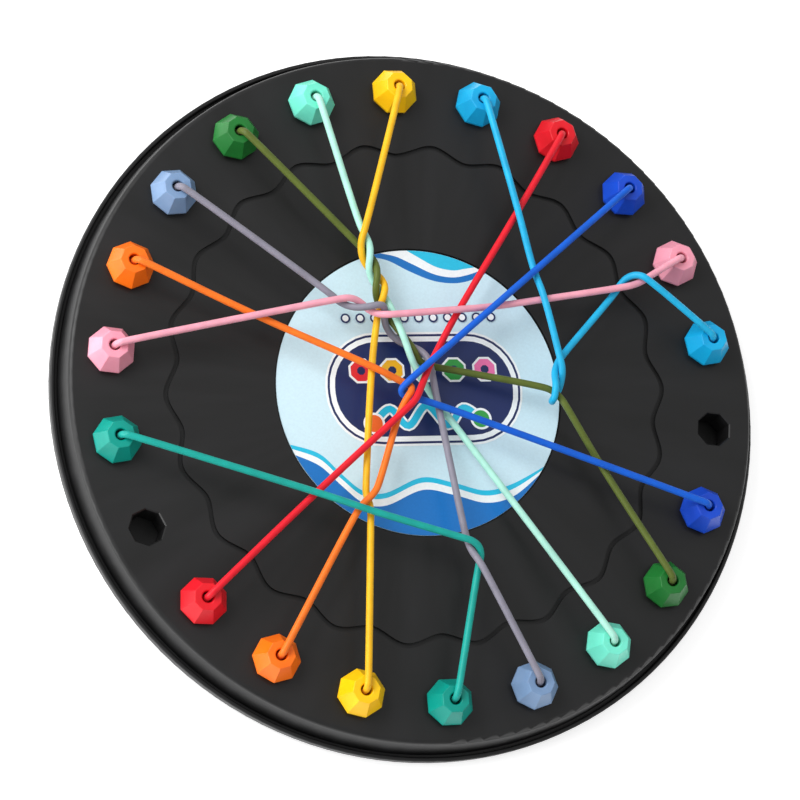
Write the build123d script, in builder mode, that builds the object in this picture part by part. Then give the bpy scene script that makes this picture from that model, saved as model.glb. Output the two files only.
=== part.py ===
from build123d import *
import os
from math import cos, pi, radians, sin, tan

# Rope untangling board: a round two-part plastic board with a ring of eight-sided
# sockets, twenty gem-headed pegs, and ten elastic cords strung from peg to peg.
# Millimetres. The origin is the middle of the underside, on the table, and +Z is up.
# Socket 0 is on +Y, and the sockets are numbered clockwise seen from above.

os.makedirs("parts", exist_ok=True)

# ---- Driving dimensions ----
board_radius = 125.0
board_height = 16.0
foot_height = 1.5

# Top shell
deck_thickness = 2.4
parting_gap = 1.0
wall_draft = 1.7
shoulder_round = 1.6
wall_thickness = 2.2
wall_rise = 0.1

# Base shell
base_thickness = 2.0
lip_width = 1.6
lip_height = 4.5
base_edge_round = 1.2
lip_top_round = 0.6
spigot_clearance = 0.3
spigot_width = 1.4
spigot_height = 4.0
stiffener_width = 1.6
stiffener_height = 1.5
stiffener_rings = (30.0, 92.0)
stiffener_count = 12

# Sockets and pegs
socket_count = 22
socket_inset = 18.0
socket_flats = 11.2
socket_chamfer = 0.4
socket_wall = 1.6
socket_floor_gap = 1.5
peg_clearance = 0.1
stem_length = 10.0
head_seat_width = 1.3
head_flare = 0.7
girdle_low = 1.8
girdle_width = 0.8
head_height = 9.4
head_top_flats = 8.8
head_edge_round = 0.25
bore_radius = 1.9
bore_round = 0.6
knot_seat_height = 4.4
knot_bore_radius = 3.4
knot_radius = 3.0
knot_height = 4.0
knot_round = 0.8

# Wavy groove
groove_radius = 86.2
groove_swing = 1.9
groove_width = 1.7
groove_depth = 1.3
groove_points_per_wave = 4

# Picture card
card_radius = 50.1
card_thickness = 0.5
card_clearance = 0.6
card_recess = 0.8

# Screws, bosses, ribs and feet
screw_count = 6
screw_circle = 70.0
screw_radius = 1.5
screw_head_radius = 3.0
screw_head_height = 1.6
screw_length = 10.0
screw_clearance = 0.05
screw_slot_width = 0.9
screw_slot_depth = 0.7
boss_radius = 4.0
boss_gap = 0.1
collar_clearance = 0.2
collar_width = 1.2
collar_height = 3.0
rib_width = 1.6
rib_depth = 4.0
rib_inner = 20.0
rib_outer = 98.0
foot_radius = 6.0
foot_inset = 13.0
foot_recess = 0.5
foot_clearance = 0.1
foot_round = 0.4

# Cords
cord_radius = 1.2

# ---- Levels and radii worked out from them ----
deck_top = board_height
deck_under = deck_top - deck_thickness
base_under = foot_height
base_top = base_under + base_thickness
lip_inner_radius = board_radius - lip_width
wall_foot_radius = lip_inner_radius - parting_gap
shoulder_radius = wall_foot_radius - wall_draft
deck_flat_radius = shoulder_radius - shoulder_round
socket_circle = board_radius - socket_inset
foot_circle = board_radius - foot_inset
wall_foot = base_top + wall_rise
wall_lean = wall_draft / (deck_under - wall_foot)
wall_radius_at_spigot_top = wall_foot_radius - wall_thickness - wall_lean * spigot_height
spigot_radius = wall_radius_at_spigot_top - spigot_clearance
socket_foot = base_top + socket_floor_gap
girdle_top = girdle_low + girdle_width
knot_seat = deck_top + knot_seat_height
stem_flats = socket_flats - 2 * peg_clearance
head_foot_flats = socket_flats + 2 * head_seat_width
head_flats = head_foot_flats + 2 * head_flare
socket_step = 360 / socket_count
screw_step = 360 / screw_count

# Each colour's two pegs, by socket number: the cord starts at the first.
# Sockets 6 and 15 hold no peg.
peg_sockets = {
    "yellow": (0, 12),
    "cyan": (1, 5),
    "red": (2, 14),
    "blue": (3, 7),
    "pink": (17, 4),
    "green": (20, 8),
    "mint": (21, 9),
    "grey": (19, 10),
    "teal": (16, 11),
    "orange": (18, 13),
}

# Each cord's route: out of its first peg, over and under the others, into its second
cord_points = {
    "yellow": [
        (0, 107, 20.4), (0, 107, 24.6), (-0.3, 106, 26.4), (-0.9, 104.2, 27.2),
        (-17.6, 54.8, 28.6), (-19.6, 50.2, 28), (-19.6, 45.8, 26.6), (-18, 42.4, 24.9),
        (-15.2, 40, 24), (-12.8, 37.4, 25.1), (-12.1, 33.8, 26.8), (-13.2, 30.4, 27.1),
        (-14.2, 27.2, 24.8), (-15, 24, 23.2), (-18.9, 6, 24.4), (-24.2, -33, 24.6),
        (-24.4, -37.4, 24), (-23.4, -41.4, 25), (-24, -47, 25.6), (-29.8, -99.8, 27.2),
        (-30, -101.7, 26.4), (-30.1, -102.7, 24.6), (-30.1, -102.7, 20.4),
    ],
    "cyan": [
        (30.1, 102.7, 20.4), (30.1, 102.7, 24.6), (30.3, 101.7, 26.4), (30.6, 99.8, 27.2),
        (37.3, 60, 29.2), (42, 40, 25), (43.5, 30, 29.2), (47.4, 8.6, 27.8),
        (48.3, 4.4, 26.9), (48.3, 1, 24.8), (47.6, -2.2, 22.6), (46, -4.4, 21.9),
        (44.6, -6, 22.9), (44, -6.7, 25.2), (44.3, -5.4, 27.6), (45, -1.2, 27.9),
        (45.7, 3, 25.2), (47.2, 6.6, 24.4), (49.8, 10, 24.2), (70.8, 31.2, 24.2),
        (73.4, 34.8, 24.2), (75.8, 37.2, 26), (78.8, 37.4, 28.6), (81.8, 35.4, 30),
        (103.7, 17, 27.2), (105.1, 15.8, 26.4), (105.9, 15.2, 24.6), (105.9, 15.2, 20.4),
    ],
    "red": [
        (57.8, 90, 20.4), (57.8, 90, 24.6), (57.2, 89.2, 26.4), (56.2, 87.7, 27.2),
        (37.5, 59.9, 25.5), (12.8, 25.1, 25.5), (3.2, 9.6, 25.6), (0.4, 5, 26),
        (-4.2, -3.6, 29.2), (-6.4, -7, 29.6), (-10.6, -10.4, 29.2), (-42.4, -36.8, 26),
        (-78.5, -68, 27.2), (-80, -69.4, 26.4), (-80.9, -70.1, 24.6), (-80.9, -70.1, 20.4),
    ],
    "blue": [
        (80.9, 70.1, 20.4), (80.9, 70.1, 24.6), (80.1, 69.5, 26.4), (78.7, 68.4, 27.2),
        (42, 39.4, 29), (2.8, 8.6, 29), (-6, 1.6, 28.8), (-8.4, -0.4, 28),
        (-9.8, -2, 26.6), (-9, -3.6, 25.4), (-6.4, -4.2, 25.2), (4, -7.4, 25.8),
        (94.7, -43.4, 27.2), (96.4, -44, 26.4), (97.3, -44.4, 24.6), (97.3, -44.4, 20.4),
    ],
    "pink": [
        (-105.9, 15.2, 20.4), (-105.9, 15.2, 24.6), (-104.9, 15.4, 26.4), (-103.1, 15.8, 27.2),
        (-57.4, 24, 28.9), (-29.6, 29.2, 28.9), (-24.8, 29.8, 28.3), (-21.2, 28.6, 26.6),
        (-18.6, 26.2, 25.6), (-15.6, 24.2, 27.2), (-12.4, 23.6, 28.8), (-8.6, 23.7, 29.2),
        (12.4, 25.2, 28.8), (25, 26.8, 25.8), (43.6, 29.4, 25.4), (73.4, 33, 27.4),
        (79.4, 34.6, 26.5), (84.2, 37.4, 26.9), (94.8, 43.2, 27.2), (96.4, 44, 26.4),
        (97.3, 44.4, 24.6), (97.3, 44.4, 20.4),
    ],
    "green": [
        (-57.8, 90, 20.4), (-57.8, 90, 24.6), (-57.1, 89.3, 26.4), (-55.8, 87.9, 27.2),
        (-23.5, 53.8, 24.6), (-20, 50.2, 24), (-17, 47.2, 23.8), (-15, 44, 25.2),
        (-14.7, 40.4, 27.6), (-15.2, 36.6, 28.3), (-15.6, 33, 26.3), (-14.4, 29.8, 23.2),
        (-12, 26.4, 22), (-10, 23.4, 22.3), (-6.4, 18, 23), (-3, 13.4, 22.8),
        (-0.9, 9.3, 20.8), (2.6, 7.9, 19.8), (6.4, 7.2, 20), (41, -1.2, 25),
        (45, -3, 24.8), (47.2, -5.6, 25.4), (49, -9, 25.6), (60.6, -30.4, 23),
        (79.7, -68, 27.2), (80.5, -69.4, 26.4), (80.9, -70.1, 24.6), (80.9, -70.1, 20.4),
    ],
    "mint": [
        (-30.1, 102.7, 20.4), (-30.1, 102.7, 24.6), (-29.9, 101.7, 26.4), (-29.5, 99.9, 27.2),
        (-19.2, 57, 25.4), (-17.2, 52.4, 25.8), (-16.4, 48.4, 27.4), (-17.2, 44, 28.8),
        (-17.6, 40.4, 27.1), (-16, 36.8, 24.6), (-13.2, 33.6, 23.6), (-11, 29.4, 24.4),
        (-9.6, 24.8, 25.6), (-7.2, 17.8, 25.8), (-4, 8.4, 23.6), (-1, 3.2, 22),
        (3.4, -3.4, 19.9), (8, -10.8, 21.4), (56.3, -87.7, 27.2), (57.3, -89.2, 26.4),
        (57.8, -90, 24.6), (57.8, -90, 20.4),
    ],
    "grey": [
        (-80.9, 70.1, 20.4), (-80.9, 70.1, 24.6), (-80.1, 69.5, 26.4), (-78.6, 68.4, 27.2),
        (-31.4, 32.2, 25.6), (-28.6, 29.2, 25.4), (-25.4, 27.2, 26.4), (-22, 26.2, 28.2),
        (-17.8, 26.6, 29.2), (-15, 27.1, 28.9), (-13.4, 26.7, 27.7), (-12.7, 24.8, 25.4),
        (-12.3, 22.2, 22.6), (-9.8, 19, 20.2), (-6.6, 16.6, 19.4), (-3.4, 15.2, 19.2),
        (0, 13.4, 20.4), (1.9, 10.4, 22.2), (2.6, 6.8, 23), (3.6, -4, 22.9),
        (8.2, -50, 25.2), (9.1, -54.6, 25.4), (9.8, -58, 26.6), (11.4, -61.6, 28.4),
        (13.4, -65.8, 28.8), (28.9, -100.3, 27.2), (29.7, -101.8, 26.4), (30.1, -102.7, 24.6),
        (30.1, -102.7, 20.4),
    ],
    "teal": [
        (-105.9, -15.2, 20.4), (-105.9, -15.2, 24.6), (-104.9, -15.5, 26.4),
        (-103.1, -16.1, 27.2), (-43, -37, 29.4), (-28.6, -42.4, 29.8), (-23, -44.4, 29.4),
        (5.6, -53.6, 29), (9.4, -54.7, 28.9), (12.2, -56.6, 27.8), (13.2, -59.4, 26),
        (12, -62.8, 25.2), (0.7, -104.1, 27.2), (0.2, -106, 26.4), (0, -107, 24.6),
        (0, -107, 20.4),
    ],
    "orange": [
        (-97.3, 44.4, 20.4), (-97.3, 44.4, 24.6), (-96.4, 44, 26.4), (-94.7, 43.1, 27.2),
        (-57.6, 24.4, 25.5), (-19.2, 5.9, 27.7), (-10, 1.7, 25.2), (-7.8, 0.7, 25),
        (-6, -0.6, 26.2), (-6.4, -2.9, 28), (-8.3, -5, 28.2), (-10.6, -9.4, 26.2),
        (-12.8, -14.6, 26), (-20, -33.4, 26.8), (-22.2, -37.4, 27.4), (-26, -40.4, 27),
        (-29.4, -44.2, 26.4), (-56.4, -87.6, 27.2), (-57.3, -89.2, 26.4), (-57.8, -90, 24.6),
        (-57.8, -90, 20.4),
    ],
}


# ---- Helpers ----
def finish(part, name):
    """Label a finished sub-part and write it to its own file."""
    part.label = name
    export_step(part, f"parts/{name}.step")


def around(radius, number, step, start=90.0):
    """A point on a circle, counted clockwise from +Y."""
    angle = radians(start - number * step)
    return (radius * cos(angle), radius * sin(angle))


def socket_plane(number, height):
    """A level plane at a socket, with its x axis pointing away from the middle."""
    x, y = around(socket_circle, number, socket_step)
    return Plane(origin=(x, y, height), x_dir=(x, y, 0), z_dir=(0, 0, 1))


def octagon(across_flats):
    """An eight-sided outline with a flat towards the middle of the board."""
    return RegularPolygon(across_flats / 2, 8, major_radius=False, rotation=22.5)


def wave(shift):
    """Points of a closed wave round the board, one wave to each socket."""
    count = socket_count * groove_points_per_wave
    points = []
    for step in range(count):
        turn = 2 * pi * step / count
        radius = groove_radius - groove_swing * cos(socket_count * turn) + shift
        points.append((radius * sin(turn), radius * cos(turn)))
    return points


screw_places = [around(screw_circle, n, screw_step) for n in range(screw_count)]
foot_places = [around(foot_circle, n + 0.5, screw_step) for n in range(screw_count)]


# ---- Top shell: deck, wall, sockets, wavy groove and card recess ----
wall_inner = wall_foot_radius - wall_thickness
shoulder_level = deck_top - shoulder_round
half_turn_in = shoulder_round * sin(pi / 4)
with BuildPart() as top_shell:
    with BuildSketch(Plane.XZ):
        with BuildLine():
            Polyline((0, deck_under), (0, deck_top), (deck_flat_radius, deck_top))
            ThreePointArc(
                (deck_flat_radius, deck_top),
                (deck_flat_radius + half_turn_in, shoulder_level + half_turn_in),
                (shoulder_radius, shoulder_level),
            )
            Polyline(
                (shoulder_radius, shoulder_level),
                (wall_foot_radius, wall_foot),
                (wall_inner, wall_foot),
                (shoulder_radius - wall_thickness, deck_under),
                (0, deck_under),
            )
        make_face()
    revolve(axis=Axis.Z)

    # Socket tubes and screw bosses hang from the underside of the deck
    for number in range(socket_count):
        with BuildSketch(socket_plane(number, deck_under)):
            octagon(socket_flats + 2 * socket_wall)
        extrude(amount=socket_foot - deck_under)
    with BuildSketch(Plane.XY.offset(deck_under)):
        with Locations(*screw_places):
            Circle(boss_radius)
    extrude(amount=base_top + boss_gap - deck_under)

    # Radial ribs, one through each boss
    with BuildSketch(Plane.XY.offset(deck_under)):
        with PolarLocations((rib_inner + rib_outer) / 2, screw_count, start_angle=90):
            Rectangle(rib_outer - rib_inner, rib_width)
    extrude(amount=-rib_depth)

    # Pilot holes for the screws
    with BuildSketch(Plane.XY.offset(base_top + boss_gap)):
        with Locations(*screw_places):
            Circle(screw_radius + screw_clearance)
    extrude(amount=screw_length - base_thickness, mode=Mode.SUBTRACT)

    # Eight-sided sockets, each with a chamfered mouth
    for number in range(socket_count):
        with BuildSketch(socket_plane(number, deck_top)):
            octagon(socket_flats)
        extrude(amount=socket_foot - deck_top, mode=Mode.SUBTRACT)
        with BuildSketch(socket_plane(number, deck_top)):
            octagon(socket_flats + 2 * socket_chamfer)
        extrude(amount=-socket_chamfer, taper=45, mode=Mode.SUBTRACT)

    # Wavy groove
    with BuildSketch(Plane.XY.offset(deck_top)):
        with BuildLine():
            Spline(*wave(groove_width / 2), periodic=True)
        make_face()
        with BuildLine():
            Spline(*wave(-groove_width / 2), periodic=True)
        make_face(mode=Mode.SUBTRACT)
    extrude(amount=-groove_depth, mode=Mode.SUBTRACT)

    # Recess for the picture card
    with BuildSketch(Plane.XY.offset(deck_top)):
        Circle(card_radius + card_clearance)
    extrude(amount=-card_recess, mode=Mode.SUBTRACT)
finish(top_shell.part, "top_shell")


# ---- Base shell: plate, raised lip, spigot ring, stiffeners and collars ----
with BuildPart() as base_shell:
    with BuildSketch(Plane.XY.offset(base_under)):
        Circle(board_radius)
    extrude(amount=base_thickness)
    with BuildSketch(Plane.XY.offset(base_under)):
        Circle(board_radius)
        Circle(lip_inner_radius, mode=Mode.SUBTRACT)
    extrude(amount=lip_height)
    fillet(base_shell.edges().group_by(Axis.Z)[0], base_edge_round)
    fillet(base_shell.edges().group_by(Axis.Z)[-1], lip_top_round)

    with BuildSketch(Plane.XY.offset(base_top)):
        Circle(spigot_radius)
        Circle(spigot_radius - spigot_width, mode=Mode.SUBTRACT)
    extrude(amount=spigot_height)

    # Stiffening rings and radial ribs
    with BuildSketch(Plane.XY.offset(base_top)):
        for ring in stiffener_rings:
            Circle(ring + stiffener_width / 2)
            Circle(ring - stiffener_width / 2, mode=Mode.SUBTRACT)
        half_step = 180 / stiffener_count
        span = stiffener_rings[1] - stiffener_rings[0]
        with PolarLocations(sum(stiffener_rings) / 2, stiffener_count, start_angle=half_step):
            Rectangle(span, stiffener_width)
    extrude(amount=stiffener_height)

    # A collar round each boss of the top shell
    with BuildSketch(Plane.XY.offset(base_top)):
        with Locations(*screw_places):
            Circle(boss_radius + collar_clearance + collar_width)
            Circle(boss_radius + collar_clearance, mode=Mode.SUBTRACT)
    extrude(amount=collar_height)

    # Countersunk screw holes and foot recesses, from below
    with BuildSketch(Plane.XY.offset(base_under)):
        with Locations(*screw_places):
            Circle(screw_radius + screw_clearance)
    extrude(amount=base_thickness, mode=Mode.SUBTRACT)
    for x, y in screw_places:
        with BuildSketch(Plane.XY.offset(base_under)):
            with Locations((x, y)):
                Circle(screw_head_radius + screw_clearance)
        with BuildSketch(Plane.XY.offset(base_under + screw_head_height)):
            with Locations((x, y)):
                Circle(screw_radius + screw_clearance)
        loft(mode=Mode.SUBTRACT)
    with BuildSketch(Plane.XY.offset(base_under)):
        with Locations(*foot_places):
            Circle(foot_radius + foot_clearance)
    extrude(amount=foot_recess, mode=Mode.SUBTRACT)
finish(base_shell.part, "base_shell")


# ---- Picture card ----
with BuildPart() as picture_card:
    with BuildSketch(Plane.XY.offset(deck_top - card_recess)):
        Circle(card_radius)
    extrude(amount=card_thickness)
finish(picture_card.part, "picture_card")


# ---- Six countersunk screws ----
with BuildPart() as base_screws:
    for x, y in screw_places:
        with BuildSketch(Plane.XY.offset(base_under)):
            with Locations((x, y)):
                Circle(screw_head_radius)
        with BuildSketch(Plane.XY.offset(base_under + screw_head_height)):
            with Locations((x, y)):
                Circle(screw_radius)
        loft()
    with BuildSketch(Plane.XY.offset(base_under + screw_head_height)):
        with Locations(*screw_places):
            Circle(screw_radius)
    extrude(amount=screw_length - screw_head_height - screw_clearance)
    with BuildSketch(Plane.XY.offset(base_under)):
        with Locations(*screw_places):
            Rectangle(screw_head_radius, screw_slot_width)
            Rectangle(screw_slot_width, screw_head_radius)
    extrude(amount=screw_slot_depth, mode=Mode.SUBTRACT)
finish(base_screws.part, "base_screws")


# ---- Six rubber feet ----
with BuildPart() as rubber_feet:
    with BuildSketch():
        with Locations(*foot_places):
            Circle(foot_radius)
    extrude(amount=foot_height + foot_recess)
    fillet(rubber_feet.edges().group_by(Axis.Z)[0], foot_round)
finish(rubber_feet.part, "rubber_feet")


# ---- Pegs: faceted head, eight-sided stem, bore for the cord and a seat for its knot ----
def make_peg(number, name):
    """One peg at rest in its socket."""
    with BuildPart() as peg:
        with BuildSketch(socket_plane(number, deck_top - stem_length)):
            octagon(stem_flats)
        extrude(amount=stem_length)
        with BuildSketch(socket_plane(number, deck_top)):
            octagon(head_foot_flats)
        with BuildSketch(socket_plane(number, deck_top + girdle_low)):
            octagon(head_flats)
        loft(ruled=True)
        with BuildSketch(socket_plane(number, deck_top + girdle_low)):
            octagon(head_flats)
        extrude(amount=girdle_width)
        with BuildSketch(socket_plane(number, deck_top + girdle_top)):
            octagon(head_flats)
        with BuildSketch(socket_plane(number, deck_top + head_height)):
            octagon(head_top_flats)
        loft(ruled=True)
        fillet(peg.edges().group_by(Axis.Z)[-1], head_edge_round)
        with BuildSketch(socket_plane(number, deck_top - stem_length)):
            Circle(knot_bore_radius)
        extrude(amount=stem_length + knot_seat_height, mode=Mode.SUBTRACT)
        with BuildSketch(socket_plane(number, knot_seat)):
            Circle(bore_radius)
        extrude(amount=head_height, mode=Mode.SUBTRACT)
        mouth = peg.edges().filter_by(GeomType.CIRCLE).group_by(Axis.Z)[-1]
        fillet(mouth, bore_round)
    finish(peg.part, name)


def make_knot(number, name):
    """The stop on a cord's end, up against the seat inside the peg."""
    with BuildPart() as knot:
        with BuildSketch(socket_plane(number, knot_seat - knot_height)):
            Circle(knot_radius)
        extrude(amount=knot_height)
        fillet(knot.edges().filter_by(GeomType.CIRCLE), knot_round)
    finish(knot.part, name)


for colour, (first, second) in peg_sockets.items():
    make_peg(first, f"peg_{colour}_a")
    make_peg(second, f"peg_{colour}_b")
    make_knot(first, f"cord_stop_{colour}_a")
    make_knot(second, f"cord_stop_{colour}_b")


# ---- Cords ----
def bend_radii(points):
    """The largest arc that each corner's two runs allow, using 0.45 of the shorter run."""
    radii = []
    for before, corner, after in zip(points, points[1:], points[2:]):
        run_in = corner - before
        run_out = after - corner
        half_turn = radians(run_in.get_angle(run_out)) / 2
        shorter = min(run_in.length, run_out.length)
        radii.append(0.45 * shorter / tan(half_turn))
    return radii


def make_cord(points, name):
    """A plain tube along straight runs joined by tangent arcs."""
    radii = bend_radii(points)
    with BuildPart() as cord:
        with BuildLine() as route:
            FilletPolyline(*points, radius=radii)
        with BuildSketch(Plane(origin=points[0], z_dir=points[1] - points[0])):
            Circle(cord_radius)
        sweep()
    length = sum(edge.length for edge in route.edges())
    expected = pi * cord_radius**2 * length
    print(f"{name}: length {length:.1f}, tightest radii", sorted(round(r, 1) for r in radii)[:4])
    print(f"    tube volume {cord.part.volume:.1f}, section times length {expected:.1f}")
    finish(cord.part, name)


for colour, points in cord_points.items():
    make_cord([Vector(*point) for point in points], f"cord_{colour}")
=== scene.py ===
# %% [markdown]
# # Rope untangling board
#
# The model is a round black board with a ring of eight-sided sockets, twenty gem-headed
# pegs and ten elastic cords tangled between them. Its hard pieces come ready made as the
# CAD frame, so this lesson gives them their materials, and makes what CAD leaves plain:
# the ten stretched cords and the print on the card. Blender counts in metres, so every
# small size here is a millimetre size times `MM`.

# %% Load the frame
import math

import bmesh
import bpy
from mathutils import Matrix, Vector


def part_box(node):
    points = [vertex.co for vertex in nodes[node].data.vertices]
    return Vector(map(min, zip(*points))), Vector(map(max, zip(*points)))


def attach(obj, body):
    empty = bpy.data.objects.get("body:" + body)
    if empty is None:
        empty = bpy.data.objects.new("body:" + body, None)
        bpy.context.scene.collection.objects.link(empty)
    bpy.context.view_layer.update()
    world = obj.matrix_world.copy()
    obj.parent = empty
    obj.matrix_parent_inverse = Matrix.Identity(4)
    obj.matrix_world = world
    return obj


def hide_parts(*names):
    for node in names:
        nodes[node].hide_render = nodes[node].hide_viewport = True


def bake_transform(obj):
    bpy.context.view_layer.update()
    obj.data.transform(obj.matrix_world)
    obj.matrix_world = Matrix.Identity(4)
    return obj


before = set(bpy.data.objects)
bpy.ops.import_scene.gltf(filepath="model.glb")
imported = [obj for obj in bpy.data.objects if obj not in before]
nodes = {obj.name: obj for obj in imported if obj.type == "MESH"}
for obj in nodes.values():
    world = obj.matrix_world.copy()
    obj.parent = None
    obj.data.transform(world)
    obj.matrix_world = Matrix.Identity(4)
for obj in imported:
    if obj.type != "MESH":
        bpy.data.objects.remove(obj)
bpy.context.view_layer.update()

MM = 0.001
bpy.context.scene.view_settings.view_transform = "Standard"
deck_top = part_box("top_shell")[1][2]
card_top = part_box("picture_card")[1][2]
print("CAD nodes:", len(nodes), "deck height in mm:", round(deck_top / MM, 2))

# %% [markdown]
# ## The camera
#
# The board is seen from high above, a little to one side, with a long lens that keeps the
# circle nearly round. The camera is placed by an azimuth, an elevation and a distance
# from the middle of the deck, which are easy to picture and to change. Its roll turns the
# picture about the line of sight, and two small offsets slide the board in the frame.

# %% Camera
CAMERA_AZIMUTH = math.radians(219.45)
CAMERA_ELEVATION = math.radians(68.24)
CAMERA_ROLL = math.radians(-5.10)
CAMERA_DISTANCE = 1.057
CAMERA_LENS_MM = 139.9
CAMERA_SENSOR_MM = 36.0
SIGHT_RIGHT = 6.66 * MM
SIGHT_UP = 2.96 * MM


def aim_camera():
    """A camera that looks at the deck's middle from a long way off."""
    flat = math.cos(CAMERA_ELEVATION)
    back = Vector((
        flat * math.cos(CAMERA_AZIMUTH),
        flat * math.sin(CAMERA_AZIMUTH),
        math.sin(CAMERA_ELEVATION),
    ))
    level_right = Vector((0, 1, 0)).cross(back).normalized()
    level_up = back.cross(level_right)
    right = math.cos(CAMERA_ROLL) * level_right + math.sin(CAMERA_ROLL) * level_up
    up = back.cross(right)
    place = back * CAMERA_DISTANCE - right * SIGHT_RIGHT - up * SIGHT_UP
    place.z += deck_top
    data = bpy.data.cameras.new("camera")
    data.lens = CAMERA_LENS_MM
    data.sensor_width = CAMERA_SENSOR_MM
    camera = bpy.data.objects.new("camera", data)
    turn = Matrix((right, up, back)).transposed().to_4x4()
    camera.matrix_world = Matrix.Translation(place) @ turn
    bpy.context.scene.collection.objects.link(camera)
    bpy.context.scene.camera = camera
    return camera


camera = aim_camera()
print("camera height in m:", round(camera.matrix_world.translation.z, 3))

# %% [markdown]
# ## The routes of the cords
#
# Each cord is one length of silicone elastic, stretched from the hole in one peg to the
# hole in another, so it runs straight except where it hooks round a neighbour. A cord
# could be drawn as a Bezier curve, but a NURBS spline of order 3 needs no handles: its
# control points are the corners that the cord is pulled round, and the spline rounds
# each of them. The third number of a point is its height, which says who passes over.

# %% Cord routes
CORD_DIAMETER = 2.4 * MM
SHORTEST_STEP = 0.02 * MM
ROUTE_STEPS = 10

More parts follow.
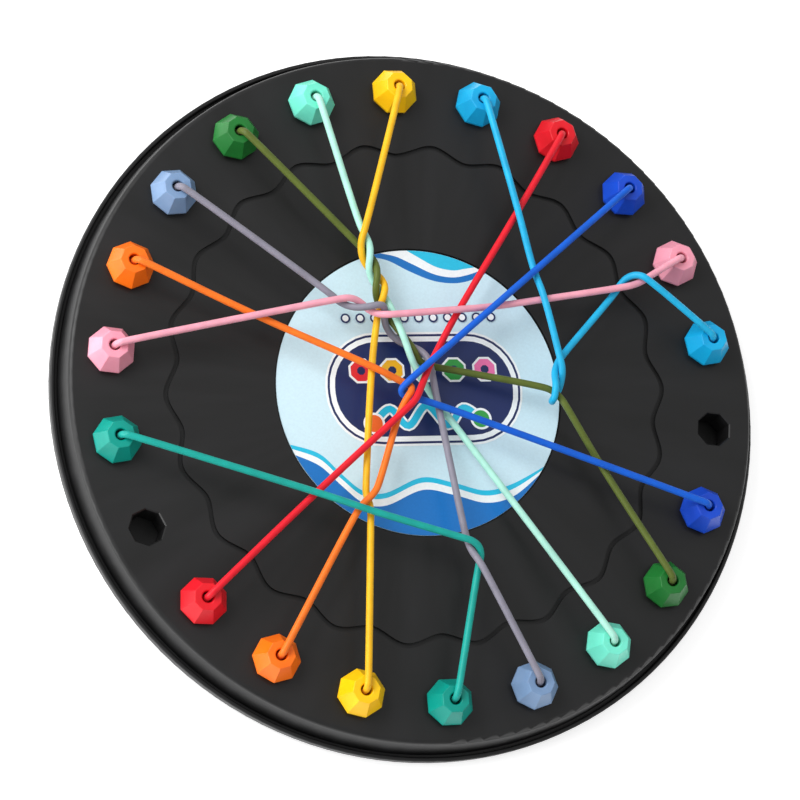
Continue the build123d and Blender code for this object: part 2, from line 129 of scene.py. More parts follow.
CORD_ROUTES = {
    "yellow": [
        (0, .107, .0204), (0, .107, .0246), (-.0003, .106, .0264), (-.0009, .1042, .0272),
        (-.0176, .0548, .0286), (-.0196, .0502, .028), (-.0196, .0458, .0266),
        (-.018, .0424, .0249), (-.0152, .04, .024), (-.0128, .0374, .0251),
        (-.0121, .0338, .0268), (-.0132, .0304, .0271), (-.0142, .0272, .0248),
        (-.015, .024, .0232), (-.0189, .006, .0244), (-.0242, -.033, .0246),
        (-.0244, -.0374, .024), (-.0234, -.0414, .025), (-.024, -.047, .0256),
        (-.0298, -.0998, .0272), (-.03, -.1017, .0264), (-.0301, -.1027, .0246),
        (-.0301, -.1027, .0204),
    ],
    "cyan": [
        (.0301, .1027, .0204), (.0301, .1027, .0246), (.0303, .1017, .0264),
        (.0306, .0998, .0272), (.0373, .06, .0292), (.042, .04, .025), (.0435, .03, .0292),
        (.0474, .0086, .0278), (.0483, .0044, .0269), (.0483, .001, .0248),
        (.0476, -.0022, .0226), (.046, -.0044, .0219), (.0446, -.006, .0229),
        (.044, -.0067, .0252), (.0443, -.0054, .0276), (.045, -.0012, .0279),
        (.0457, .003, .0252), (.0472, .0066, .0244), (.0498, .01, .0242),
        (.0708, .0312, .0242), (.0734, .0348, .0242), (.0758, .0372, .026),
        (.0788, .0374, .0286), (.0818, .0354, .03), (.1037, .017, .0272),
        (.1051, .0158, .0264), (.1059, .0152, .0246), (.1059, .0152, .0204),
    ],
    "red": [
        (.0578, .09, .0204), (.0578, .09, .0246), (.0572, .0892, .0264),
        (.0562, .0877, .0272), (.0375, .0599, .0255), (.0128, .0251, .0255),
        (.0032, .0096, .0256), (.0004, .005, .026), (-.0042, -.0036, .0292),
        (-.0064, -.007, .0296), (-.0106, -.0104, .0292), (-.0424, -.0368, .026),
        (-.0785, -.068, .0272), (-.08, -.0694, .0264), (-.0809, -.0701, .0246),
        (-.0809, -.0701, .0204),
    ],
    "blue": [
        (.0809, .0701, .0204), (.0809, .0701, .0246), (.0801, .0695, .0264),
        (.0787, .0684, .0272), (.042, .0394, .029), (.0028, .0086, .029),
        (-.006, .0016, .0288), (-.0084, -.0004, .028), (-.0098, -.002, .0266),
        (-.009, -.0036, .0254), (-.0064, -.0042, .0252), (.004, -.0074, .0258),
        (.0947, -.0434, .0272), (.0964, -.044, .0264), (.0973, -.0444, .0246),
        (.0973, -.0444, .0204),
    ],
    "pink": [
        (-.1059, .0152, .0204), (-.1059, .0152, .0246), (-.1049, .0154, .0264),
        (-.1031, .0158, .0272), (-.0574, .024, .0289), (-.0296, .0292, .0289),
        (-.0248, .0298, .0283), (-.0212, .0286, .0266), (-.0186, .0262, .0256),
        (-.0156, .0242, .0272), (-.0124, .0236, .0288), (-.0086, .0237, .0292),
        (.0124, .0252, .0288), (.025, .0268, .0258), (.0436, .0294, .0254),
        (.0734, .033, .0274), (.0794, .0346, .0265), (.0842, .0374, .0269),
        (.0948, .0432, .0272), (.0964, .044, .0264), (.0973, .0444, .0246),
        (.0973, .0444, .0204),
    ],
    "green": [
        (-.0578, .09, .0204), (-.0578, .09, .0246), (-.0571, .0893, .0264),
        (-.0558, .0879, .0272), (-.0235, .0538, .0246), (-.02, .0502, .024),
        (-.017, .0472, .0238), (-.015, .044, .0252), (-.0147, .0404, .0276),
        (-.0152, .0366, .0283), (-.0156, .033, .0263), (-.0144, .0298, .0232),
        (-.012, .0264, .022), (-.01, .0234, .0223), (-.0064, .018, .023),
        (-.003, .0134, .0228), (-.0009, .0093, .0208), (.0026, .0079, .0198),
        (.0064, .0072, .02), (.041, -.0012, .025), (.045, -.003, .0248),
        (.0472, -.0056, .0254), (.049, -.009, .0256), (.0606, -.0304, .023),
        (.0797, -.068, .0272), (.0805, -.0694, .0264), (.0809, -.0701, .0246),
        (.0809, -.0701, .0204),
    ],
    "mint": [
        (-.0301, .1027, .0204), (-.0301, .1027, .0246), (-.0299, .1017, .0264),
        (-.0295, .0999, .0272), (-.0192, .057, .0254), (-.0172, .0524, .0258),
        (-.0164, .0484, .0274), (-.0172, .044, .0288), (-.0176, .0404, .0271),
        (-.016, .0368, .0246), (-.0132, .0336, .0236), (-.011, .0294, .0244),
        (-.0096, .0248, .0256), (-.0072, .0178, .0258), (-.004, .0084, .0236),
        (-.001, .0032, .022), (.0034, -.0034, .0199), (.008, -.0108, .0214),
        (.0563, -.0877, .0272), (.0573, -.0892, .0264), (.0578, -.09, .0246),
        (.0578, -.09, .0204),
    ],
    "grey": [
        (-.0809, .0701, .0204), (-.0809, .0701, .0246), (-.0801, .0695, .0264),
        (-.0786, .0684, .0272), (-.0314, .0322, .0256), (-.0286, .0292, .0254),
        (-.0254, .0272, .0264), (-.022, .0262, .0282), (-.0178, .0266, .0292),
        (-.015, .0271, .0289), (-.0134, .0267, .0277), (-.0127, .0248, .0254),
        (-.0123, .0222, .0226), (-.0098, .019, .0202), (-.0066, .0166, .0194),
        (-.0034, .0152, .0192), (0, .0134, .0204), (.0019, .0104, .0222),
        (.0026, .0068, .023), (.0036, -.004, .0229), (.0082, -.05, .0252),
        (.0091, -.0546, .0254), (.0098, -.058, .0266), (.0114, -.0616, .0284),
        (.0134, -.0658, .0288), (.0289, -.1003, .0272), (.0297, -.1018, .0264),
        (.0301, -.1027, .0246), (.0301, -.1027, .0204),
    ],
    "teal": [
        (-.1059, -.0152, .0204), (-.1059, -.0152, .0246), (-.1049, -.0155, .0264),
        (-.1031, -.0161, .0272), (-.043, -.037, .0294), (-.0286, -.0424, .0298),
        (-.023, -.0444, .0294), (.0056, -.0536, .029), (.0094, -.0547, .0289),
        (.0122, -.0566, .0278), (.0132, -.0594, .026), (.012, -.0628, .0252),
        (.0007, -.1041, .0272), (.0002, -.106, .0264), (0, -.107, .0246), (0, -.107, .0204),
    ],
    "orange": [
        (-.0973, .0444, .0204), (-.0973, .0444, .0246), (-.0964, .044, .0264),
        (-.0947, .0431, .0272), (-.0576, .0244, .0255), (-.0192, .0059, .0277),
        (-.01, .0017, .0252), (-.0078, .0007, .025), (-.006, -.0006, .0262),
        (-.0064, -.0029, .028), (-.0083, -.005, .0282), (-.0106, -.0094, .0262),
        (-.0128, -.0146, .026), (-.02, -.0334, .0268), (-.0222, -.0374, .0274),
        (-.026, -.0404, .027), (-.0294, -.0442, .0264), (-.0564, -.0876, .0272),
        (-.0573, -.0892, .0264), (-.0578, -.09, .0246), (-.0578, -.09, .0204),
    ],
}


def route_points(points):
    """The smooth line of a route, read back from its NURBS spline without doubled points."""
    data = bpy.data.curves.new("route", "CURVE")
    data.dimensions = "3D"
    data.resolution_u = ROUTE_STEPS
    spline = data.splines.new("NURBS")
    spline.points.add(len(points) - 1)
    for target, point in zip(spline.points, points):
        target.co = (*point, 1)
    spline.order_u = 3
    spline.use_endpoint_u = True
    holder = bpy.data.objects.new("route", data)
    bpy.context.scene.collection.objects.link(holder)
    bpy.context.view_layer.update()
    mesh = bpy.data.meshes.new_from_object(holder)
    line = [mesh.vertices[0].co.copy()]
    for vertex in mesh.vertices:
        if (vertex.co - line[-1]).length > SHORTEST_STEP:
            line.append(vertex.co.copy())
    bpy.data.objects.remove(holder)
    bpy.data.meshes.remove(mesh)
    return line


def line_length(line):
    return sum((b - a).length for a, b in zip(line, line[1:]))


print("routes:", len(CORD_ROUTES), "points:", sum(map(len, CORD_ROUTES.values())))

# %% [markdown]
# ## A tube along a line
#
# A mesh tube is a ring of points carried along the line. Turning each ring only as much
# as the line itself turns keeps the tube from twisting. Each cord is made as two halves
# that meet in the same ring, because its two ends sit in two pegs. Counted from a peg,
# point 1 of a route is just inside the mouth of the bore.

# %% Tube and cord pieces
CORD_SIDES = 18


def tube_frames(line):
    """For each point of a line, its direction and a side direction that doesn't twist."""
    frames = []
    side = Vector((1, 0, 0))
    for index in range(len(line)):
        before = line[max(index - 1, 0)]
        after = line[min(index + 1, len(line) - 1)]
        ahead = (after - before).normalized()
        side = (side - ahead * side.dot(ahead)).normalized()
        frames.append((ahead, side))
    return frames


def make_tube(name, line, frames, radius, cap_start, cap_end):
    """A round tube with one ring for each point, closed only at the ends that ask for it."""
    mesh = bpy.data.meshes.new(name)
    shape = bmesh.new()
    rings = []
    for centre, (ahead, side) in zip(line, frames):
        other = ahead.cross(side)
        ring = []
        for step in range(CORD_SIDES):
            turn = 2 * math.pi * step / CORD_SIDES
            reach = side * math.cos(turn) + other * math.sin(turn)
            ring.append(shape.verts.new(centre + reach * radius))
        rings.append(ring)
    for lower, upper in zip(rings, rings[1:]):
        for step in range(CORD_SIDES):
            after = (step + 1) % CORD_SIDES
            shape.faces.new((lower[step], lower[after], upper[after], upper[step]))
    for ring, wanted in ((rings[0], cap_start), (rings[-1], cap_end)):
        if wanted:
            shape.faces.new(ring)
    bmesh.ops.recalc_face_normals(shape, faces=shape.faces)
    for face in shape.faces:
        face.smooth = len(face.verts) == 4
    shape.to_mesh(mesh)
    shape.free()
    piece = bpy.data.objects.new(name, mesh)
    bpy.context.scene.collection.objects.link(piece)
    return piece


def make_cord(colour, points):
    """Both halves of a cord, each running from the middle of the cord to its own peg."""
    line = route_points(points)
    frames = tube_frames(line)
    travelled = 0
    middle = 0
    while travelled < line_length(line) / 2:
        travelled += (line[middle + 1] - line[middle]).length
        middle += 1
    halves = []
    for end, span, turned in (("a", slice(0, middle + 1), points),
                              ("b", slice(middle, len(line)), points[::-1])):
        part = line[span]
        name = f"cord_{colour}_{end}_half"
        piece = make_tube(name, part, frames[span], CORD_DIAMETER / 2, end == "a", end == "b")
        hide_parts(f"cord_{colour}")
        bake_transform(piece)
        halves.append(piece)
    print(f"cord_{colour}: {line_length(line) / MM:.1f} mm")
    return halves


cords = {colour: make_cord(colour, points) for colour, points in CORD_ROUTES.items()}

# %% [markdown]
# ## Colour and node helpers
#
# Paint and plastic colours are written the way a colour chart gives them, as sRGB hex.
# Blender's shaders work in linear light, so one function converts them. A second helper
# adds a shader node with its settings and links in one call, which keeps each material
# readable as a short recipe. Pattern sizes are real millimetres: a noise of scale 1 has
# features about a metre wide, so the scale is a metre divided by the feature's size.
#
# Most moulded and printed surfaces are nearly one colour, yet never quite: they vary in
# soft clouds. `cloudy_finish` gives a shader two close tones that way. Noise seldom
# strays far from its middle, so only the middle of its range is spread out. The grain of
# real skins is too fine to show on an object seen whole, so each grain below is drawn a
# few times coarser than it is, and shallow.

# %% Helpers for materials
CLOUD_LOW = 0.3
CLOUD_HIGH = 0.7


def linear(hex_colour):
    """An sRGB hex colour as linear red, green, blue and alpha."""
    channels = []
    for place in (0, 2, 4):
        value = int(hex_colour[place:place + 2], 16) / 255
        low = value / 12.92
        high = ((value + 0.055) / 1.055) ** 2.4
        channels.append(low if value <= 0.04045 else high)
    return (*channels, 1.0)


def deeper(colour, share):
    """The same colour with only this share of its light."""
    return (*(channel * share for channel in colour[:3]), 1.0)


def add_node(tree, kind, inputs, **settings):
    """Add a node, set its settings, and fill its inputs with values or links."""
    node = tree.nodes.new(kind)
    for name, value in settings.items():
        setattr(node, name, value)
    for socket, value in inputs.items():
        if isinstance(value, bpy.types.NodeSocket):
            tree.links.new(value, node.inputs[socket])
        else:
            node.inputs[socket].default_value = value
    return node


def scale_for(size_mm):
    """The texture scale whose features are this many millimetres wide."""
    return 1 / (size_mm * MM)


def new_material(name, **shader_values):
    """A material with its tree, its shader, and the object's own coordinates in metres."""
    material = bpy.data.materials.new(name)
    material.use_nodes = True
    tree = material.node_tree
    shader = tree.nodes["Principled BSDF"]
    for socket, value in shader_values.items():
        shader.inputs[socket.replace("_", " ")].default_value = value
    place = add_node(tree, "ShaderNodeTexCoord", {}).outputs["Object"]
    return material, tree, shader, place


def cloudy_finish(made, cloud_mm, detail, tones, roughness=None, relief=None, normal=None):
    """Two close tones in soft clouds, with roughness and fine relief to go with them.

    `made` is the tree, shader and place of a new material. Roughness is given as its least
    and its most, and relief as the width and the depth of its grain in millimetres.
    """
    tree, shader, place = made
    clouds = add_node(tree, "ShaderNodeTexNoise",
                      {"Vector": place, "Scale": scale_for(cloud_mm), "Detail": detail})
    middle = {"Value": clouds.outputs["Fac"], "From Min": CLOUD_LOW, "From Max": CLOUD_HIGH}
    share = add_node(tree, "ShaderNodeMapRange", middle)
    tint = add_node(tree, "ShaderNodeMix",
                    {0: share.outputs["Result"], 6: tones[0], 7: tones[1]}, data_type="RGBA")
    tree.links.new(tint.outputs[2], shader.inputs["Base Color"])
    if roughness:
        dullness = add_node(tree, "ShaderNodeMapRange",
                            {**middle, "To Min": roughness[0], "To Max": roughness[1]})
        tree.links.new(dullness.outputs["Result"], shader.inputs["Roughness"])
    if relief:
        grain_mm, depth_mm = relief
        grain = add_node(tree, "ShaderNodeTexNoise",
                         {"Vector": place, "Scale": scale_for(grain_mm), "Detail": 2.0})
        inputs = {"Height": grain.outputs["Fac"], "Distance": depth_mm * MM, "Strength": 1.0}
        if normal:
            inputs["Normal"] = normal
        surface = add_node(tree, "ShaderNodeBump", inputs)
        tree.links.new(surface.outputs["Normal"], shader.inputs["Normal"])


def dress(material, *names):
    """Give CAD nodes or pieces one material."""
    for name in names:
        data = bpy.data.objects[name].data
        data.materials.clear()
        data.materials.append(material)


print("a 1 mm pattern has scale", round(scale_for(1)))

# %% [markdown]
# ## Black ABS for the shells
#
# Both halves of the board are injection-moulded ABS, coloured right through and left with
# a fine spark-eroded grain. The grain is what makes black plastic look grey where light
# rakes over it: the real one is about a tenth of a millimetre wide, and is drawn at half a
# millimetre to show. The melt flows outwards from the middle of the mould, and leaves faint
# streaks along the radius, so the streak pattern is stretched that way: it reads the
# angle round the board finely and the distance from the middle coarsely.

# %% Moulded black ABS
ABS_IOR = 1.54
SHELL_TONES = ("121212", "1a1a1b")
SHELL_ROUGHNESS = (0.38, 0.46)
MOULD_GRAIN_MM = 0.55
MOULD_GRAIN_DEPTH_MM = 0.012
STREAK_LENGTH_MM = 60.0
STREAKS_AROUND = 46.0


def black_abs():
    """Grained black plastic with faint streaks that run outwards from the middle."""
    material, tree, shader, place = new_material(
        "moulded_black_abs", IOR=ABS_IOR, Roughness=0.42, Specular_IOR_Level=0.35)
    axes = add_node(tree, "ShaderNodeSeparateXYZ", {"Vector": place})
    angle = add_node(tree, "ShaderNodeMath", {0: axes.outputs["Y"], 1: axes.outputs["X"]},
                     operation="ARCTAN2")
    reach = add_node(tree, "ShaderNodeVectorMath", {0: place}, operation="LENGTH")
    across = add_node(tree, "ShaderNodeMath",
                      {0: angle.outputs[0], 1: STREAKS_AROUND / math.tau}, operation="MULTIPLY")
    along = add_node(tree, "ShaderNodeMath",
                     {0: reach.outputs["Value"], 1: scale_for(STREAK_LENGTH_MM)},
                     operation="MULTIPLY")
    streak_place = add_node(tree, "ShaderNodeCombineXYZ",
                            {"X": across.outputs[0], "Y": along.outputs[0]})
    streaks = add_node(tree, "ShaderNodeTexNoise",
                       {"Vector": streak_place.outputs[0], "Scale": 1.0, "Detail": 3.0})
    middle = {"Value": streaks.outputs["Fac"], "From Min": CLOUD_LOW, "From Max": CLOUD_HIGH}
    share = add_node(tree, "ShaderNodeMapRange", middle)
    tint = add_node(tree, "ShaderNodeMix", {
        0: share.outputs["Result"], 6: linear(SHELL_TONES[0]), 7: linear(SHELL_TONES[1]),
    }, data_type="RGBA")
    tree.links.new(tint.outputs[2], shader.inputs["Base Color"])
    dullness = add_node(tree, "ShaderNodeMapRange", {
        **middle, "To Min": SHELL_ROUGHNESS[0], "To Max": SHELL_ROUGHNESS[1],
    })
    tree.links.new(dullness.outputs["Result"], shader.inputs["Roughness"])
    grain = add_node(tree, "ShaderNodeTexNoise",
                     {"Vector": place, "Scale": scale_for(MOULD_GRAIN_MM), "Detail": 2.0})
    surface = add_node(tree, "ShaderNodeBump", {
        "Height": grain.outputs["Fac"], "Distance": MOULD_GRAIN_DEPTH_MM * MM,
        "Strength": 1.0,
    })
    tree.links.new(surface.outputs["Normal"], shader.inputs["Normal"])
    return material


dress(black_abs(), "top_shell", "base_shell")
print("shells dressed in moulded ABS")

# %% [markdown]
# ## Coloured ABS for the pegs
#
# The pegs are moulded in ten colours of the same plastic, from a polished mould, so they
# shine more than the board. Moulded facets never have knife edges: the Bevel node rounds
# them in the shading only, which catches a thin highlight along each edge without
# touching the CAD mesh. A little light enters bright plastic and comes out nearby, which
# subsurface scattering gives.

# %% Peg plastic
PEG_COLOURS = {
    "yellow": ("ffce10", "fdbe06"),
    "cyan": ("12aee2", "0e9ed4"),
    "red": ("e51b2b", "d6121f"),
    "blue": ("154fd0", "1243bc"),
    "pink": ("f3a3b6", "ec94a9"),
    "green": ("1f7530", "1a6829"),
    "mint": ("7aead0", "6addc2"),
    "grey": ("7f9bbf", "718eb3"),
    "teal": ("02998a", "018a7c"),
    "orange": ("fe7a18", "f66c0c"),
}
EDGE_ROUNDING_MM = 0.35
PEG_GLOW_DEPTH_MM = 1.5


def peg_abs(colour, face, shade):
    """Bright plastic from a polished mould, with softly rounded facet edges."""
    material, tree, shader, place = new_material(
        f"polished_{colour}_abs", IOR=ABS_IOR, Roughness=0.32, Specular_IOR_Level=0.3,
        Subsurface_Weight=0.08)
    shader.inputs["Subsurface Radius"].default_value = (1.0, 0.6, 0.4)
    shader.inputs["Subsurface Scale"].default_value = PEG_GLOW_DEPTH_MM * MM
    soft_edge = add_node(tree, "ShaderNodeBevel", {"Radius": EDGE_ROUNDING_MM * MM}, samples=4)
    cloudy_finish((tree, shader, place), cloud_mm=9.0, detail=3.0,
                  tones=(linear(face), linear(shade)), roughness=(0.28, 0.38),
                  relief=(1.4, 0.010), normal=soft_edge.outputs["Normal"])
    return material


for colour, (face, shade) in PEG_COLOURS.items():
    dress(peg_abs(colour, face, shade), f"peg_{colour}_a", f"peg_{colour}_b")
print("pegs dressed:", 2 * len(PEG_COLOURS))

# %% [markdown]
# ## Silicone elastic for the cords
#
# Stretch cord of this kind is extruded silicone: smooth, faintly waxy, and a little
# see-through, so light that gets in softens its shaded side. Its skin is matt with a very
# fine relief. The stops inside the pegs are the same stuff.

# %% Cord silicone
CORD_COLOURS = {
    "yellow": "f8bd1c",
    "cyan": "1fb4e4",
    "red": "e8192c",
    "blue": "0c60d4",
    "pink": "f6a9bb",
    "green": "5d6b2a",
    "mint": "b4efdd",
    "grey": "8d8a98",
    "teal": "17a79b",
    "orange": "fb7a22",
}
SILICONE_IOR = 1.41
CORD_GLOW_DEPTH_MM = 0.8
CORD_DEEP_SHARE = 0.82


def cord_silicone(colour, hex_colour):
    """Matt, slightly see-through elastic."""
    material, tree, shader, place = new_material(
        f"extruded_{colour}_silicone", IOR=SILICONE_IOR, Roughness=0.42,
        Specular_IOR_Level=0.35, Subsurface_Weight=0.15, Sheen_Weight=0.05)
    shader.inputs["Subsurface Radius"].default_value = (1.0, 0.8, 0.6)
    shader.inputs["Subsurface Scale"].default_value = CORD_GLOW_DEPTH_MM * MM
    full = linear(hex_colour)
    cloudy_finish((tree, shader, place), cloud_mm=5.0, detail=3.0,
                  tones=(full, deeper(full, CORD_DEEP_SHARE)), relief=(0.6, 0.008))
    return material


for colour, hex_colour in CORD_COLOURS.items():
    names = [half.name for half in cords[colour]]
    stops = [f"cord_stop_{colour}_a", f"cord_stop_{colour}_b"]
    dress(cord_silicone(colour, hex_colour), *names, *stops)
print("cords dressed:", len(CORD_COLOURS))

# %% [markdown]
# ## Rubber feet and zinc-plated screws
#
# The underside has six rubber pads and six steel screws. Rubber is dark and dull with a
# dusty bloom, and zinc plating is a pale bluish metal with a slightly cloudy passivated
# skin.

# %% Feet and screws
def rubber():
    """Dull black rubber with a dusty bloom."""
    material, tree, shader, place = new_material("moulded_rubber", IOR=1.52, Roughness=0.8)
    cloudy_finish((tree, shader, place), cloud_mm=2.5, detail=4.0,
                  tones=(linear("1a1a1a"), linear("2a2928")),
                  roughness=(0.72, 0.9), relief=(0.5, 0.02))
    return material


def zinc_steel():
    """Steel under a pale, slightly cloudy zinc skin."""
    material, tree, shader, place = new_material("zinc_plated_steel", Metallic=1.0)
    cloudy_finish((tree, shader, place), cloud_mm=0.9, detail=4.0,
                  tones=(linear("b9bcc0"), linear("cfd2d4")),
                  roughness=(0.25, 0.42), relief=(0.4, 0.004))
    return material


dress(rubber(), "rubber_feet")
dress(zinc_steel(), "base_screws")
print("feet and screws dressed")

# %% [markdown]
# ## Printed card
#
# The disc in the middle is laminated card with a flat, bright print. A print could be
# painted with shader masks, but crisp outlines are easier to draw as flat mesh shapes,
# one layer of ink over another, all within half a millimetre of the card. Here are the
# inks first: each is slightly mottled, as offset ink on card is, under a laminate that
# gives it a soft shine. Real mottle is finer than the 0.8 mm it is drawn at.

# %% Inks
INKS = {
    "pale_blue": "cfecf7",
    "white": "f4fafc",
    "cyan": "1fc0e4",
    "mid_blue": "0b72c2",
    "navy": "12255b",
    "red": "e2232f",
    "yellow": "f7b917",
    "green": "2f9e44",
    "orange": "f0681d",
    "pink": "f073ac",
}
LAMINATE_IOR = 1.5
INK_THIN_SHARE = 0.94


def printed_ink(name, hex_colour):
    """Flat ink, slightly mottled, under a soft shine."""
    material, tree, shader, place = new_material(
        f"{name}_ink_under_laminate", IOR=LAMINATE_IOR, Roughness=0.35)
    full = linear(hex_colour)
    cloudy_finish((tree, shader, place), cloud_mm=0.8, detail=3.0,
                  tones=(full, deeper(full, INK_THIN_SHARE)), relief=(3.0, 0.006))
    return material


inks = {name: printed_ink(name, hex_colour) for name, hex_colour in INKS.items()}
dress(inks["pale_blue"], "picture_card")
print("inks:", len(inks))

# %% [markdown]
# ## The print's shapes
#
# The picture is only decoration: waves at the top and the bottom, and a dark plaque with
# a row of pegs and a wavy cord drawn on it. Every outline is worked out in millimetres
# from the middle of the card. A smooth wave is a Catmull-Rom curve, which passes through
# each of its points. Later shapes go on a higher layer, so they cover the earlier ones.

# %% Outline helpers
CARD_EDGE = 50.05
CURVE_STEPS = 8
EDGE_STEPS = 48
CORNER_STEPS = 8


def smooth(points):
    """A Catmull-Rom curve through every point."""
    padded = [points[0], *points, points[-1]]
    curve = []
    for p0, p1, p2, p3 in zip(padded, padded[1:], padded[2:], padded[3:]):
        for step in range(CURVE_STEPS):
            t = step / CURVE_STEPS
            curve.append(tuple(
                0.5 * (2 * b + (c - a) * t + (2 * a - 5 * b + 4 * c - d) * t**2
                       + (3 * b - a - 3 * c + d) * t**3)
                for a, b, c, d in zip(p0, p1, p2, p3)
            ))
    return [*curve, points[-1]]


def to_edge(point):
    """The same direction, out at the card's edge."""
    stretch = CARD_EDGE / math.hypot(*point)
    return (point[0] * stretch, point[1] * stretch)


def wave_region(points, side):
    """The part of the card above (side 1) or below (side -1) a wavy line."""
    line = smooth([to_edge(points[0]), *points[1:-1], to_edge(points[-1])])
    start = math.atan2(line[-1][1], line[-1][0])
    finish = math.atan2(line[0][1], line[0][0])
    sweep = ((finish - start) * side) % math.tau
    arc = [start + side * sweep * step / EDGE_STEPS for step in range(1, EDGE_STEPS)]
    return [*line, *((CARD_EDGE * math.cos(a), CARD_EDGE * math.sin(a)) for a in arc)]


def lowered(points, drop):
    """The same line, further down the card."""
    return [(x, y - drop) for x, y in points]


def ring_points(centre, radius, count, turn=0.0):
    """A regular outline, such as an octagon or a circle."""
    angles = [turn + math.tau * step / count for step in range(count)]
    return [(centre[0] + radius * math.cos(a), centre[1] + radius * math.sin(a)) for a in angles]


def shifted(point, centre):
    """A point given from a centre, as a point of the card."""
    return (centre[0] + point[0], centre[1] + point[1])


def rounded_box(centre, width, height, corner, grow):
    """A box with round corners, grown outwards by a margin."""
    half_w = width / 2 - corner
    half_h = height / 2 - corner
    outline = []
    for quarter, (sx, sy) in enumerate(((1, 1), (-1, 1), (-1, -1), (1, -1))):
        for step in range(CORNER_STEPS + 1):
            angle = math.pi / 2 * (quarter + step / CORNER_STEPS)
            x = sx * half_w + (corner + grow) * math.cos(angle)
            y = sy * half_h + (corner + grow) * math.sin(angle)
            outline.append(shifted((x, y), centre))
    return outline


def stroke(points, width):
    """A thick smooth line as a row of four-sided pieces."""
    line = smooth(points)
    edges = []
    for index in range(len(line)):
        before = line[max(index - 1, 0)]
        after = line[min(index + 1, len(line) - 1)]
        dx, dy = after[0] - before[0], after[1] - before[1]
        size = math.hypot(dx, dy)
        nx, ny = -dy / size * width / 2, dx / size * width / 2
        x, y = line[index]
        edges.append(((x + nx, y + ny), (x - nx, y - ny)))
    return [[a[0], a[1], b[1], b[0]] for a, b in zip(edges, edges[1:])]


print("points in a smooth wave of six:", len(smooth([(n, n % 2) for n in range(6)])))

# %% [markdown]
# ## Waves on the card
#
# The top and the bottom of the picture hold water: each wave fills the card from a wavy
# line to the edge. Laying one ink over another, each a little nearer the edge, leaves
# bands of colour. The bottom bands are even, so one line serves for all three of them.

# %% Waves
TOP_BLUE = [(-14, 48.2), (-7, 46.5), (0, 42.8), (8, 39.4), (15, 38.3), (21, 39), (27.8, 41.7)]
TOP_WHITE = [(-9.5, 49.2), (-4, 47.9), (2, 45), (9, 41.6), (15.5, 40.4), (21, 41.2), (26, 42.9)]
TOP_CYAN = [(0, 50), (4, 47.6), (10, 44.2), (16, 42.9), (20, 43.4), (24, 44.1)]
FOOT_CYAN = [
    (-46.5, -17.5), (-37, -21), (-30, -28), (-23, -34), (-15, -35), (-2, -30),
    (9, -32), (20, -35), (30, -33), (40, -26),
]
FOOT_WHITE_DROP = 1.8
FOOT_BLUE_DROP = 4.3

print_layers = [
    ("mid_blue", [wave_region(TOP_BLUE, 1)]),
    ("white", [wave_region(TOP_WHITE, 1)]),
    ("cyan", [wave_region(TOP_CYAN, 1)]),
    ("cyan", [wave_region(FOOT_CYAN, -1)]),
    ("white", [wave_region(lowered(FOOT_CYAN, FOOT_WHITE_DROP), -1)]),
    ("mid_blue", [wave_region(lowered(FOOT_CYAN, FOOT_BLUE_DROP), -1)]),
]
print("wave layers:", len(print_layers))

# %% [markdown]
# ## Plaque
#
# The plaque is one box with very round corners, drawn four times, each time a little
# smaller, so that the steps between them become its white and navy borders. A row of peg
# pictures fills its upper half, and a wavy cord between two pegs its lower half. A row of
# white beads with dark rims sits above it. Sizes are radii and widths in millimetres.

# %% Plaque
PLAQUE_CENTRE = (2, 1)
PLAQUE_SIZE = (62, 32)
PLAQUE_CORNER = 15
ROW_CENTRE = (2, 7.5)
CORD_CENTRE = (2, -7)
BEADS_CENTRE = (2, 26)
PLAQUE_MARGINS = [("white", 4.0), ("navy", 3.2), ("white", 2.4), ("navy", 0.6)]
PEG_PICTURES = ["red", "yellow", "cyan", "green", "pink"]
PEG_SPACING = 11.0
CORD_PICTURE = [(-19, -4), (-13, 1), (-7, -5), (0, 2), (7, -5), (13, 1), (19, -3)]
BEAD_COUNT = 11
BEAD_SPACING = 5.2
PEG_RIM, PEG_FACE, PEG_HOLE = 4.7, 3.9, 1.5
CORD_RIM_WIDTH, CORD_FACE_WIDTH = 3.8, 2.4
CORD_END_RIM, CORD_END_FACE = 3.8, 3.0
BEAD_RIM, BEAD_FACE = 1.7, 1.1
PEG_SIDES, END_SIDES, BEAD_SIDES = 8, 32, 20

for ink, margin in PLAQUE_MARGINS:
    outline = rounded_box(PLAQUE_CENTRE, *PLAQUE_SIZE, PLAQUE_CORNER, margin)
    print_layers.append((ink, [outline]))

half_row = (len(PEG_PICTURES) - 1) / 2
peg_centres = [shifted(((n - half_row) * PEG_SPACING, 0), ROW_CENTRE)
               for n in range(len(PEG_PICTURES))]
for radius, ink in ((PEG_RIM, "white"), (PEG_FACE, None), (PEG_HOLE, "navy")):
    for centre, own_ink in zip(peg_centres, PEG_PICTURES):
        shape = ring_points(centre, radius, PEG_SIDES, math.pi / PEG_SIDES)
        print_layers.append((ink or own_ink, [shape]))

cord_picture = [shifted(point, CORD_CENTRE) for point in CORD_PICTURE]
print_layers.append(("white", stroke(cord_picture, CORD_RIM_WIDTH)))
print_layers.append(("cyan", stroke(cord_picture, CORD_FACE_WIDTH)))
for centre, ink in ((cord_picture[0], "orange"), (cord_picture[-1], "green")):
    print_layers.append(("white", [ring_points(centre, CORD_END_RIM, END_SIDES)]))
    print_layers.append((ink, [ring_points(centre, CORD_END_FACE, END_SIDES)]))

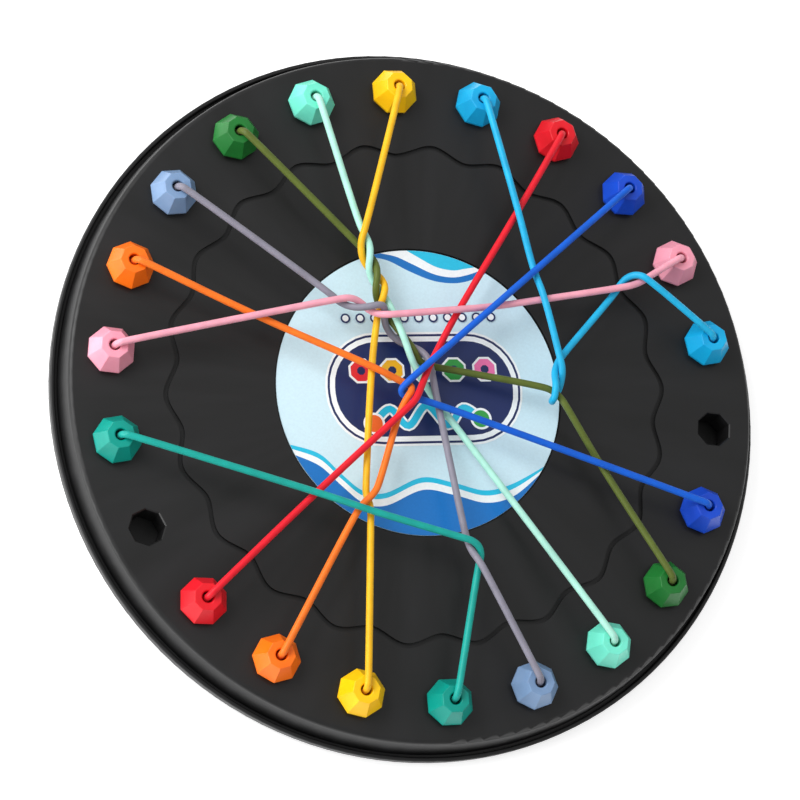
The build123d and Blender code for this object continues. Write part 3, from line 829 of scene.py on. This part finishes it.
half_beads = (BEAD_COUNT - 1) / 2
bead_centres = [shifted(((n - half_beads) * BEAD_SPACING, 0), BEADS_CENTRE)
                for n in range(BEAD_COUNT)]
for radius, ink in ((BEAD_RIM, "navy"), (BEAD_FACE, "white")):
    beads = [ring_points(centre, radius, BEAD_SIDES) for centre in bead_centres]
    print_layers.append((ink, beads))
print("layers with the plaque:", len(print_layers))

# %% [markdown]
# ## Laying the ink
#
# All the shapes go into one flat mesh with a material for each ink. It rides the board, as
# the card does. Each layer sits twelve thousandths of a millimetre above the last: enough
# for the renderer to tell them apart, and too little to see from the side.

# %% Lay the ink on the card
INK_STEP = 0.012 * MM


def lay_print(layers):
    """One flat mesh of every shape, each layer of ink a little higher than the last."""
    mesh = bpy.data.meshes.new("card_print")
    names = sorted({ink for ink, _ in layers})
    for name in names:
        mesh.materials.append(inks[name])
    shape = bmesh.new()
    for level, (ink, outlines) in enumerate(layers, start=1):
        height = card_top + level * INK_STEP
        for outline in outlines:
            corners = [shape.verts.new((x * MM, y * MM, height)) for x, y in outline]
            face = shape.faces.new(corners)
            face.material_index = names.index(ink)
            face.normal_update()
            if face.normal.z < 0:
                face.normal_flip()
    bmesh.ops.triangulate(shape, faces=shape.faces)
    shape.to_mesh(mesh)
    shape.free()
    piece = bpy.data.objects.new("card_print", mesh)
    bpy.context.scene.collection.objects.link(piece)
    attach(piece, "board")
    return piece


card_print = lay_print(print_layers)
print("print layers:", len(print_layers), "faces:", len(card_print.data.polygons))

# %% [markdown]
# ## Table and light
#
# A plain pale table and a few large soft lights are what a product is usually shown
# with. A big softbox high on the left gives the pegs a bright side and a shaded side, and
# a lower one puts the long highlight on the wall of the board. Both stand where the deck
# can't mirror them to the eye, which keeps black plastic black. The table has a faint
# glow of its own, as a lit sweep of paper has, and lies a hair below the feet, so that
# the two flat faces never share a plane.

# %% Stage and lights
TABLE_GLOW = 0.5
TABLE_REACH = 3.0
TABLE_DROP = 0.1 * MM
SKY_STRENGTH = 0.62


def make_table():
    """A wide flat sheet under the feet, kept out of the measured model."""
    mesh = bpy.data.meshes.new("table")
    corners = [(x * TABLE_REACH, y * TABLE_REACH, -TABLE_DROP)
               for x, y in ((-1, -1), (1, -1), (1, 1), (-1, 1))]
    mesh.from_pydata(corners, [], [(0, 1, 2, 3)])
    table = bpy.data.objects.new("table", mesh)
    bpy.context.scene.collection.objects.link(table)
    material, tree, shader, place = new_material(
        "pale_painted_table", Roughness=0.7, Emission_Strength=TABLE_GLOW)
    shader.inputs["Emission Color"].default_value = linear("ffffff")
    cloudy_finish((tree, shader, place), cloud_mm=300.0, detail=2.0,
                  tones=(linear("f7f7f7"), linear("fbfbfb")))
    dress(material, "table")


def softbox(name, place, target, size, watts):
    """A square white light that faces a point; places and sizes are in metres."""
    data = bpy.data.lights.new(name, "AREA")
    data.size = size
    data.energy = watts
    light = bpy.data.objects.new(name, data)
    light.location = place
    aim = Vector(target) - Vector(place)
    light.rotation_euler = aim.to_track_quat("-Z", "Y").to_euler()
    bpy.context.scene.collection.objects.link(light)


def set_sky():
    """Even white light from all round."""
    world = bpy.data.worlds.new("studio")
    bpy.context.scene.world = world
    world.use_nodes = True
    sky = world.node_tree.nodes["Background"]
    sky.inputs["Color"].default_value = linear("ffffff")
    sky.inputs["Strength"].default_value = SKY_STRENGTH


make_table()
set_sky()
softbox("high_left", place=(-0.7, 0.45, 0.8), target=(0, 0, 0), size=0.6, watts=9)
softbox("left_strip", place=(-0.9, -0.15, 0.25), target=(-0.1, 0, 0), size=0.35, watts=4)
